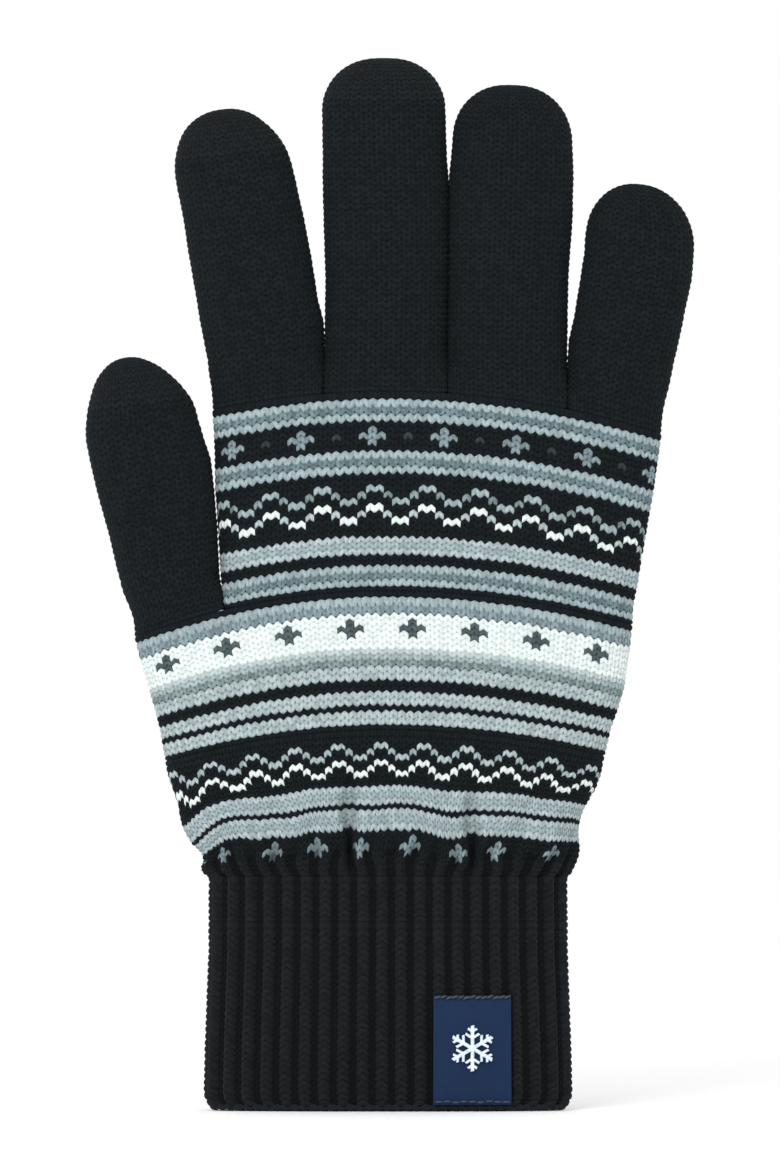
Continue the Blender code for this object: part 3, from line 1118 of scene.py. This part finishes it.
@dataclass
class Hand:
    """The patterned hand: gathered heel, palm with the thumb's root, and upper hand."""

    heel_wales: int = 130
    wales: int = 118
    upper_wales: int = 106
    heel_top: float = 81.9       # height of the course where the gathers' finer stitches end
    shoulder: float = 111.7      # height of the course the thumb and the upper hand start from
    top: float = 154.4
    lower_edges: Table = (
        (50.5, -37.9, 37.9), (51.6, -39.4, 39.0), (55.9, -42.7, 41.1), (60.2, -44.5, 42.0),
        (64.5, -45.8, 43.0), (68.8, -46.5, 44.5), (73.1, -47.5, 45.8), (77.4, -48.3, 46.9),
        (81.7, -49.1, 47.9), (86.0, -50.1, 49.4), (90.3, -51.4, 50.7), (94.6, -52.7, 51.4),
        (98.9, -53.8, 52.0), (103.2, -55.0, 52.5), (111.7, -56.6, 53.5))
    lower_depths: Table = (
        (50.5, 8.07), (53.0, 8.3), (57.0, 9.3), (62.0, 10.4), (68.0, 10.9), (111.7, 11.2))
    upper_edges: Table = (
        (103.0, -35.7, 52.5), (111.8, -35.9, 53.5), (116.0, -36.1, 54.2), (124.7, -36.6, 55.7),
        (133.3, -37.2, 57.2), (144.1, -37.4, 58.7), (152.7, -38.0, 60.0), (161.2, -38.9, 61.7))
    upper_depths: Table = ((108.6, 11.2), (135.0, 10.6), (154.4, 9.3))
    thumb_cut: float = -35.3     # place across of the wall between the thumb and the hand
    heel_split: int = 11         # course that divides the heel's two pieces
    upper_split: int = 12        # and the upper hand's

    def heel_folds(self, u: np.ndarray, points: np.ndarray) -> np.ndarray:
        """Shape the gathers above the cuff, and the ribs that run up into them.

        Args:
            u: from 0 to 1 once round the tube.
            points: x, y and z along a last axis.

        Returns:
            The rise at each point.
        """
        x, y, z = points[..., 0], points[..., 1], points[..., 2]
        rise = rib_rise(u) * (1.0 - smoothstep((z - 51.5) / 11.0))
        front = y < 0
        for place, depth, width, reach, on_front in GATHERS:
            here = np.exp(-((x - place) / width) ** 2) * (front == on_front)
            reach_up = smoothstep((z - CUFF_TOP) / 4.5) * (1.0 - smoothstep((z - 62.0) / reach))
            rise = rise - depth * here * reach_up
        return rise

    def lower_tube(self) -> Tube:
        """The tube of the hand below the thumb."""
        return Tube(self.lower_edges, self.lower_depths, bow=course_bow)

    def lower(self) -> tuple[Fabric, Fabric]:
        """Plan the fabrics below the thumb.

        Returns:
            The gathered heel's fabric and the palm's.
        """
        tube = self.lower_tube()
        heel = Fabric(tube, Chart(HEEL_CHART, self.heel_top), self.heel_wales, ACRYLIC,
                      folds=self.heel_folds, sway=gather_sway, rib_fade=6, seed=21)
        palm = Fabric(tube, Chart(PALM_CHART, self.shoulder), self.wales, ACRYLIC, seed=22)
        return heel, palm

    def upper(self) -> Fabric:
        """Plan the fabric of the hand beside and above the thumb.

        Returns:
            The fabric.
        """
        root = Slice(*self.shoulder_slice(), self.thumb_cut, 60.0)
        tube = Tube(self.upper_edges, self.upper_depths, bow=course_bow, root=root,
                    root_level=self.shoulder, root_reach=9.0)
        return Fabric(tube, Chart(UPPER_CHART, self.top), self.upper_wales, ACRYLIC, seed=31)

    def shoulder_slice(self) -> tuple[float, float, float]:
        """Edges and half depth of the lower hand's base where it divides."""
        return self.lower_tube().cut_across(self.shoulder)

    def crown_slice(self) -> tuple[float, float, float]:
        """Edges and half depth of the upper hand's base where the fingers begin."""
        return self.upper().tube.cut_across(self.top)

    def build(self) -> list[bpy.types.Object]:
        """Build the hand in its stretches.

        Returns:
            The pieces.
        """
        heel_fabric, palm_fabric = self.lower()
        rows = len(heel_fabric.chart.rows)
        heel = heel_fabric.shell("heel_knit_low", 0, self.heel_split, square=(True, False))
        waist = heel_fabric.shell("heel_knit_high", self.heel_split, rows, square=(False, True))
        for piece in (heel, waist):
            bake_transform(piece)
        palm = palm_fabric.shell("palm_knit", 0, len(palm_fabric.chart.rows))
        upper = self.upper()
        rows = len(upper.chart.rows)
        knuckles = upper.shell("upper_knit_low", 0, self.upper_split, square=(True, False))
        crown = upper.shell("upper_knit_high", self.upper_split, rows, square=(False, True))
        for piece in (palm, knuckles, crown):
            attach(piece, "hand")
        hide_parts("lower_hand")
        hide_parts("upper_hand")
        pieces = [heel, waist, palm, knuckles, crown]
        return pieces


@dataclass
class Stall:
    """A finger's or the thumb's knitted tube, in the stretches its joints divide it into.

    Attributes:
        name: the finger's name.
        cuts: left and right cut in the tube it grows from.
        edges: its outline.
        half_depth: its own half depth.
        dome: its rounded end.
        lean: slope of its courses.
        touch: length of its conductive end, if it has one.
    """

    name: str
    cuts: tuple[float, float]
    edges: Table
    half_depth: float
    dome: Dome
    lean: float
    touch: float = 0.0
    wales: int = 32
    course: float = 1.32
    seed: int = 41

    def fabric(self, parent: tuple[float, float, float], start: float) -> Fabric:
        """The stall's fabric.

        Args:
            parent: left and right edge and half depth of the base it grows from.
            start: height of that base's last course at the glove's middle.

        Returns:
            The fabric, with a chart from its root to its tip.
        """
        root = Slice(*parent, *self.cuts)
        level = start - float(course_bow(np.array(root.middle()), np.array(start)))
        tube = Tube(self.edges, ((0.0, self.half_depth), (300.0, self.half_depth)), power=2.35,
                    bow=course_bow, root=root, root_level=level, root_reach=9.0, settle=13.0,
                    lean=self.lean, dome=self.dome)
        chart = self.chart(level, tube.top())
        return Fabric(tube, chart, self.wales, ACRYLIC, relief=0.36, seed=self.seed)

    def chart(self, bottom: float, top: float) -> Chart:
        """Plan black courses, and above them the conductive ones.

        Args:
            bottom: height of the lowest course.
            top: height of the last.

        Returns:
            The chart.
        """
        bands = []
        if self.touch:
            bands.append(Band((Shade.TOUCH.letter,) * self.touch_rows(), self.touch))
        count = round((top - self.touch - bottom) / self.course)
        bands.append(Band((Shade.BLACK.letter,) * count, top - self.touch - bottom))
        return Chart(tuple(bands), top)

    def touch_rows(self) -> int:
        """Number of conductive courses."""
        return round(self.touch / self.course)

    def touch_cap(self, fabric: Fabric, body: str) -> bpy.types.Object:
        """Build the conductive end in its own yarn.

        Args:
            fabric: the stall's fabric.
            body: the body it moves with.

        Returns:
            The piece.
        """
        fabric.yarn = CONDUCTIVE
        rows = len(fabric.chart.rows)
        cap = fabric.shell(f"{self.name}_touch_knit", rows - self.touch_rows(), rows,
                           square=(False, True))
        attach(cap, body)
        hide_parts(f"{self.name}_touch_tip")
        return cap

    def stretch(self, fabric: Fabric, name: str, first: int, last: int, bodies: tuple[str, str],
                zone: tuple[float, float], nodes: tuple[str, ...]) -> bpy.types.Object:
        """Build some courses across one joint as one piece.

        Args:
            fabric: the stall's fabric.
            name: the piece's name.
            first: its lowest course.
            last: the course above its highest.
            bodies: the bodies below and above the joint; not used.
            zone: a span of heights about the joint; not used.
            nodes: the CAD nodes it stands for.

        Returns:
            The piece.
        """
        rows = len(fabric.chart.rows)
        obj = fabric.shell(name, first, last, square=(first == 0, last == rows))
        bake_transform(obj)
        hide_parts(*nodes)
        return obj


@dataclass
class Finger(Stall):
    """A finger's stall, in stretches divided between its knuckle, middle joint and last joint."""

    def build(self, hand: Hand) -> list[bpy.types.Object]:
        """Build the stall's stretches.

        Args:
            hand: the hand it grows from.

        Returns:
            The pieces.
        """
        fabric = self.fabric(hand.crown_slice(), hand.top)
        levels = fabric.chart.levels
        knuckle, middle, tip = (joint_height(f"{self.name}_{part}")
                                for part in ("knuckle", "middle_joint", "tip_joint"))
        low, high = (knuckle + middle) / 2, (middle + tip) / 2
        cuts = [int(np.argmin(np.abs(levels - height))) for height in (low, high)]
        last = len(fabric.chart.rows) - self.touch_rows()
        start = min(float(levels[0]) + 1.0, hand.top - 0.9)
        near, mid, far = (f"{self.name}_{part}" for part in ("proximal", "middle", "distal"))
        pieces = [
            self.stretch(fabric, f"{self.name}_knuckle_knit", 0, cuts[0], ("hand", near),
                         (start, low - 2.0), (near,)),
            self.stretch(fabric, f"{self.name}_middle_knit", cuts[0], cuts[1], (near, mid),
                         (low + 1.0, high - 2.0), (mid,)),
            self.stretch(fabric, f"{self.name}_tip_knit", cuts[1], last, (mid, far),
                         (high + 1.0, 2.0 * tip - high), (far,)),
        ]
        if self.touch:
            pieces.append(self.touch_cap(fabric, far))
        return pieces


@dataclass
class Thumb(Stall):
    """The thumb's stall, in a stretch from its root and a stretch over its joint."""

    split: float = 118.5

    def build(self, hand: Hand) -> list[bpy.types.Object]:
        """Build the stall's stretches.

        Args:
            hand: the hand it grows from.

        Returns:
            The pieces.
        """
        fabric = self.fabric(hand.shoulder_slice(), hand.shoulder)
        levels = fabric.chart.levels
        last = len(fabric.chart.rows) - self.touch_rows()
        cut = int(np.argmin(np.abs(levels - self.split)))
        base = fabric.shell("thumb_root_knit", 0, cut, square=(True, False))
        mouth = joint("thumb_base_joint")
        place, axis = Vector(mouth["pos_m"]), Vector(mouth["axis"]).normalized()
        up = Vector((axis.z, 0.0, -axis.x))
        up = up if up.z > 0 else -up
        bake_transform(base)
        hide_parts("thumb_base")
        bend = joint_height("thumb_tip_joint")
        tip = self.stretch(fabric, "thumb_tip_knit", cut, last, ("thumb_base", "thumb_tip"),
                           (self.split + 1.5, 2.0 * bend - self.split - 1.5), ("thumb_tip",))
        return [base, tip, self.touch_cap(fabric, "thumb_tip")]


FINGERS = (
    Finger("index", (-60.0, -13.8),
           ((150.0, -38.0, -13.5), (161.2, -38.9, -13.4), (165.6, -39.8, -13.4),
            (169.8, -40.6, -13.7), (174.2, -41.3, -14.9), (182.8, -42.8, -16.2),
            (191.3, -44.1, -17.8), (199.9, -45.8, -19.7), (206.0, -46.6, -21.2),
            (213.0, -48.2, -23.0)),
           8.1, Dome(202.0, 13.1, 0.98), -0.12, touch=17.0, seed=41),
    Finger("middle", (-13.8, 12.8),
           ((150.0, -13.9, 12.9), (165.0, -13.8, 13.0), (178.4, -13.6, 13.2),
            (191.3, -14.0, 13.3), (200.0, -14.2, 13.2), (205.0, -14.2, 12.8),
            (215.0, -14.3, 12.5)),
           8.3, Dome(215.0, 11.1, 0.86), 0.0, touch=17.0, seed=42),
    Finger("ring", (12.8, 38.6),
           ((150.0, 12.5, 38.6), (165.0, 12.5, 38.7), (178.4, 12.7, 38.9),
            (191.3, 12.8, 39.8), (200.0, 12.9, 40.0), (205.0, 13.4, 39.9), (210.0, 13.8, 39.7)),
           8.1, Dome(208.6, 11.7, 0.88), 0.03, seed=43),
    Finger("little", (38.6, 70.0),
           ((146.0, 38.2, 59.4), (152.7, 38.2, 60.0), (161.2, 38.4, 61.7),
            (165.5, 38.7, 62.7), (169.8, 39.7, 63.6), (178.4, 41.1, 65.4), (184.0, 42.0, 65.9),
            (190.0, 42.4, 66.0)),
           7.6, Dome(186.6, 12.4, 0.97), 0.1, wales=28, seed=44),
)
THUMB = Thumb("thumb", (-60.0, -35.3),
              ((98.0, -54.0, -35.4), (103.2, -55.0, -35.6), (107.5, -56.1, -35.7),
               (116.0, -58.3, -36.1), (124.7, -60.4, -36.5), (133.3, -62.8, -37.2),
               (139.8, -64.3, -37.9), (144.1, -65.1, -39.3), (148.3, -65.1, -40.6),
               (153.0, -65.5, -41.6), (162.0, -67.5, -45.0)),
              8.3, Dome(147.4, 14.4, 1.05), -0.12, touch=17.0, wales=30, seed=45)


@dataclass(frozen=True)
class WovenSatin:
    """Label cloth: polyester woven in fine upright ribs, which give it a faint silky streak."""

    name: str = "woven_polyester_satin"
    colour: str = "#102746"
    dark: str = "#0d1e3b"
    rib_mm: float = 0.42         # coarser than the real 0.15 mm warp, so that it shows
    rib_rise_mm: float = 0.08
    cloud_scale: float = 260.0   # patches of light and dark about 4 mm across
    roughness: float = 0.7
    specular: float = 0.15

    def dress(self) -> bpy.types.Material:
        """Make the material.

        Returns:
            The material.
        """
        made, shader = new_material(self.name)
        nodes, links = made.node_tree.nodes, made.node_tree.links
        place = add_node(nodes, "TexCoord").outputs["Object"]
        ribs = add_node(nodes, "TexWave", {"Vector": place}, bands_direction="X",
                        Scale=math.pi / 10 / (self.rib_mm * MM), Distortion=0.6, Detail=1.0)
        cloud = add_node(nodes, "TexNoise", {"Vector": place}, Scale=self.cloud_scale,
                         Detail=3.0)
        blend = add_node(nodes, "Math", operation="MULTIPLY_ADD")
        links.new(ribs.outputs["Fac"], blend.inputs[0])
        blend.inputs[1].default_value = 0.5
        links.new(cloud.outputs["Fac"], blend.inputs[2])
        mix = add_node(nodes, "Mix", data_type="RGBA")
        links.new(blend.outputs[0], mix.inputs["Factor"])
        colours = [socket for socket in mix.inputs if socket.type == "RGBA"]
        colours[0].default_value, colours[1].default_value = linear(self.dark), linear(self.colour)
        result = [socket for socket in mix.outputs if socket.type == "RGBA"][0]
        links.new(result, shader.inputs["Base Color"])
        bump = add_node(nodes, "Bump", {"Height": ribs.outputs["Fac"]}, Strength=0.35,
                        Distance=self.rib_rise_mm * MM)
        links.new(bump.outputs["Normal"], shader.inputs["Normal"])
        shader.inputs["Roughness"].default_value = self.roughness
        shader.inputs["Specular IOR Level"].default_value = self.specular
        return made


@dataclass(frozen=True)
class Thread:
    """A twisted sewing or embroidery thread, whose ply gives it fine light and dark flecks."""

    name: str
    colour: str
    dark: str
    roughness: float = 0.5
    fleck_mm: float = 0.35
    sheen: float = 0.2

    def dress(self) -> bpy.types.Material:
        """Make or fetch the material.

        Returns:
            The material.
        """
        made = bpy.data.materials.get(self.name)
        if made is not None:
            return made
        made, shader = new_material(self.name)
        nodes, links = made.node_tree.nodes, made.node_tree.links
        place = add_node(nodes, "TexCoord").outputs["Object"]
        fleck = add_node(nodes, "TexNoise", {"Vector": place}, Scale=1.0 / (self.fleck_mm * MM),
                         Detail=2.0)
        ramp = add_node(nodes, "ValToRGB", {"Fac": fleck.outputs["Fac"]})
        ramp.color_ramp.elements[0].color = linear(self.dark)
        ramp.color_ramp.elements[0].position = 0.35
        ramp.color_ramp.elements[1].color = linear(self.colour)
        ramp.color_ramp.elements[1].position = 0.6
        links.new(ramp.outputs["Color"], shader.inputs["Base Color"])
        shader.inputs["Roughness"].default_value = self.roughness
        shader.inputs["Sheen Weight"].default_value = self.sheen
        return made


# Rayon is the shiniest of these, twisted polyester duller, and the elastic's cover matt.
EMBROIDERY = Thread("rayon_embroidery_thread", "#e2eef6", "#c3d3df", 0.4)
SEWING = Thread("spun_polyester_sewing_thread", "#333c44", "#1c2329")
SEWING_NAVY = Thread("navy_sewing_thread", "#20324a", "#142338")
ELASTIC = Thread("covered_elastic_thread", "#2a3032", "#15191a", 0.6)


@dataclass
class Label:
    """The woven label on the cuff, with its embroidered snow crystal and its sewing."""

    centre: float = 18.1
    width: float = 16.8
    bottom: float = 1.4
    height: float = 23.5
    thickness: float = 0.6
    lift: float = 0.5            # from the cuff's outline to the cloth's back
    crystal_height: float = 13.6
    crystal_radius: float = 4.9
    strand: float = 0.13         # half the thickness of an embroidery strand
    strand_step: float = 0.21
    cuff_half_width: float = 39.0
    cuff_power: float = 2.5      # how boxy the cuff's section is

    def back(self, x: float, z: float) -> float:
        """Find the cloth's back, which follows the cuff and is pinched in at its seams.

        Args:
            x: place across.
            z: height.

        Returns:
            y there.
        """
        share = min(abs(x) / self.cuff_half_width, 1.0)
        cuff = CUFF_DEPTH * (1.0 - share ** self.cuff_power) ** (1.0 / self.cuff_power)
        side = (x - self.centre) / (self.width / 2)
        up = (z - self.bottom) / self.height
        crown = 0.35 * (1.0 - side * side) * math.sin(math.pi * min(max(up, 0.0), 1.0))
        pinch = 0.3 * math.exp(-((1.0 - up) * self.height / 1.4) ** 2)
        pinch += 0.2 * math.exp(-(up * self.height / 1.2) ** 2)
        return -(cuff + self.lift + crown - pinch)

    def cloth(self) -> bpy.types.Object:
        """Weave the cloth as a thin sheet that follows the cuff.

        Returns:
            The piece.
        """
        bm = bmesh.new()
        bmesh.ops.create_grid(bm, x_segments=28, y_segments=40, size=0.5)
        for vert in bm.verts:
            x = self.centre + vert.co.x * self.width * (1.0 - 0.012 * vert.co.y)
            z = self.bottom + (vert.co.y + 0.5) * self.height
            vert.co = Vector((x, self.back(x, z), z)) * MM
        bmesh.ops.recalc_face_normals(bm, faces=bm.faces)
        if sum(face.normal.y for face in bm.faces) > 0:
            bmesh.ops.reverse_faces(bm, faces=bm.faces)
        bmesh.ops.solidify(bm, geom=bm.faces[:], thickness=self.thickness * MM)
        bmesh.ops.recalc_face_normals(bm, faces=bm.faces)
        rim = [edge for edge in bm.edges if len(edge.link_faces) == 2
               and edge.calc_face_angle() > 1.0]
        bmesh.ops.bevel(bm, geom=rim, offset=0.16 * MM, segments=2, affect="EDGES", profile=0.5,
                        material=-1)
        return finish_mesh(bm, "woven_label", WovenSatin().dress())

    def strand_at(self, bm: bmesh.types.BMesh, x: float, z: float, turn: float, half: float,
                  radius: float, height: float) -> None:
        """Lay one short strand of thread on the label.

        Args:
            bm: mesh it is added to.
            x: place across.
            z: height.
            turn: angle of its length from upright.
            half: half of its length.
            radius: half of its thickness.
            height: how far its middle lies above the cloth's back.
        """
        place = Matrix.Translation(Vector((x, self.back(x, z) - height, z)) * MM)
        spin = Matrix.Rotation(turn, 4, "Y")
        slope = (self.back(x + 0.5, z) - self.back(x - 0.5, z))
        tilt = Matrix.Rotation(math.atan(slope), 4, "Z")
        scale = Matrix.Diagonal((radius * MM, radius * MM, half * MM, 1.0))
        bmesh.ops.create_uvsphere(bm, u_segments=6, v_segments=5, radius=1.0,
                                  matrix=place @ tilt @ spin @ scale)

    def bar(self, bm: bmesh.types.BMesh, start: tuple[float, float], turn: float, length: float,
            width: float) -> None:
        """Cover a bar with satin stitch, strands lying side by side across it.

        Args:
            bm: mesh it is added to.
            start: place of its foot, from the crystal's middle.
            turn: its angle from upright.
            length: its length.
            width: length of each strand.
        """
        count = max(3, round(length / self.strand_step))
        for number in range(count):
            along = length * (number + 0.5) / count
            x = self.centre + start[0] + math.sin(turn) * along
            z = self.crystal_height + start[1] + math.cos(turn) * along
            self.strand_at(bm, x, z, turn + math.radians(72), width / 2, self.strand,
                           self.thickness + 0.07)

    def crystal(self) -> bpy.types.Object:
        """Embroider the snow crystal: six arms, each with two pairs of branches.

        Returns:
            The piece.
        """
        bm = bmesh.new()
        for arm in range(6):
            turn = math.radians(60 * arm)
            self.bar(bm, (0.0, 0.0), turn, self.crystal_radius, 0.95)
            for reach, length in ((0.45, 1.75), (0.74, 1.15)):
                root = (math.sin(turn) * reach * self.crystal_radius,
                        math.cos(turn) * reach * self.crystal_radius)
                for side in (-1, 1):
                    self.bar(bm, root, turn + side * math.radians(58), length, 0.7)
        return finish_mesh(bm, "embroidered_crystal", EMBROIDERY.dress())

    def seam(self, name: str, height: float, count: int, half: float, turn: float,
             thread: Thread) -> bpy.types.Object:
        """Sew a row of stitches across the label.

        Args:
            name: the piece's name.
            height: the row's height.
            count: how many stitches.
            half: half of a stitch's length.
            turn: its angle from upright.
            thread: what it is sewn with.

        Returns:
            The piece.
        """
        bm = bmesh.new()
        for number in range(count):
            x = self.centre + self.width * ((number + 0.5) / count - 0.5) * 0.97
            z = height + 0.12 * math.sin(number * 2.3)
            self.strand_at(bm, x, z, turn, half, 0.24, self.thickness + 0.05)
        return finish_mesh(bm, name, thread.dress())

    def build(self) -> list[bpy.types.Object]:
        """Build the label.

        Returns:
            The pieces.
        """
        cloth, crystal = self.cloth(), self.crystal()
        top = self.seam("label_top_sewing", self.bottom + self.height - 0.35, 13, 0.78,
                        math.radians(68), SEWING)
        foot = self.seam("label_foot_sewing", self.bottom + 0.75, 9, 0.8, math.radians(90),
                         SEWING_NAVY)
        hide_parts("label")
        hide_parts("label_stitch_top")
        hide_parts("label_stitch_bottom")
        for piece, slot in ((cloth, "label_cloth"), (crystal, "sewing_thread"),
                            (top, "sewing_thread"), (foot, "sewing_thread")):
            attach(piece, "cuff")
        return [cloth, crystal, top, foot]


def finish_mesh(bm: bmesh.types.BMesh, name: str, material: bpy.types.Material
                ) -> bpy.types.Object:
    """Turn a bmesh into a smooth, dressed object in the scene.

    Args:
        bm: the shape, which is used up.
        name: the object's name.
        material: its finish.

    Returns:
        The object.
    """
    mesh = bpy.data.meshes.new(name)
    bm.to_mesh(mesh)
    bm.free()
    mesh.materials.append(material)
    mesh.shade_smooth()
    obj = bpy.data.objects.new(name, mesh)
    bpy.context.scene.collection.objects.link(obj)
    return obj


def dress_elastic() -> None:
    """Give the elastic threads inside the cuff their finish."""
    for number in range(1, 7):
        mesh = bpy.data.objects[f"elastic_thread_{number}"].data
        mesh.materials.clear()
        mesh.materials.append(ELASTIC.dress())


# =============================================================================================
# camera, light and floor
# =============================================================================================
@dataclass
class Studio:
    """A plain pale floor, an even white surround and one soft key light."""

    frame_height: float = 251.5  # what the view takes in at the glove, in millimetres
    centre: tuple[float, float] = (0.43, 112.9)
    distance: float = 3000.0
    sensor: float = 36.0
    key_place: tuple[float, float, float] = (-0.3, -1.0, 0.55)    # in metres
    key_size: float = 0.4
    key_watts: float = 6.5
    floor_half: float = 1.5

    def build(self) -> None:
        """Add the camera, the lights and the floor."""
        scene = bpy.context.scene
        scene.view_settings.view_transform = "Standard"
        camera = bpy.data.cameras.new("camera")
        camera.sensor_width = self.sensor
        camera.lens = self.sensor * self.distance / self.frame_height
        camera.clip_end = 20.0
        holder = bpy.data.objects.new("camera", camera)
        holder.location = (self.centre[0] * MM, -self.distance * MM, self.centre[1] * MM)
        holder.rotation_euler = (math.radians(90), 0.0, 0.0)
        scene.collection.objects.link(holder)
        scene.camera = holder
        world = bpy.data.worlds.new("studio_surround")
        world.use_nodes = True
        background = world.node_tree.nodes["Background"]
        background.inputs["Color"].default_value = (1.0, 1.0, 1.0, 1.0)
        background.inputs["Strength"].default_value = 1.0
        scene.world = world
        self.key_light()
        self.floor()

    def key_light(self) -> None:
        """Add a square soft light that faces the middle of the glove."""
        light = bpy.data.lights.new("key_light", "AREA")
        light.size = self.key_size
        light.energy = self.key_watts
        obj = bpy.data.objects.new("key_light", light)
        obj.location = self.key_place
        aim = Vector((0.0, 0.0, self.centre[1] * MM)) - Vector(self.key_place)
        obj.rotation_euler = aim.to_track_quat("-Z", "Y").to_euler()
        bpy.context.scene.collection.objects.link(obj)

    def floor(self) -> None:
        """Add the floor."""
        bm = bmesh.new()
        bmesh.ops.create_grid(bm, x_segments=1, y_segments=1, size=self.floor_half)
        paint, shader = new_material("matt_white_paint")
        shader.inputs["Base Color"].default_value = linear("#ffffff")
        shader.inputs["Roughness"].default_value = 0.9
        obj = finish_mesh(bm, "floor", paint)


def main() -> None:
    """Build the glove piece by piece, and the studio round it."""
    logging.basicConfig(level=logging.INFO, format="%(name)s: %(message)s")
    hand = Hand()
    built = Cuff().build() + Label().build() + hand.build()
    dress_elastic()
    for finger in FINGERS:
        built += finger.build(hand)
    built += THUMB.build(hand)
    for piece in built:
        log.info("%s: %d faces", piece.name, len(piece.data.polygons))
    Studio().build()


if __name__ == "__main__":
    main()
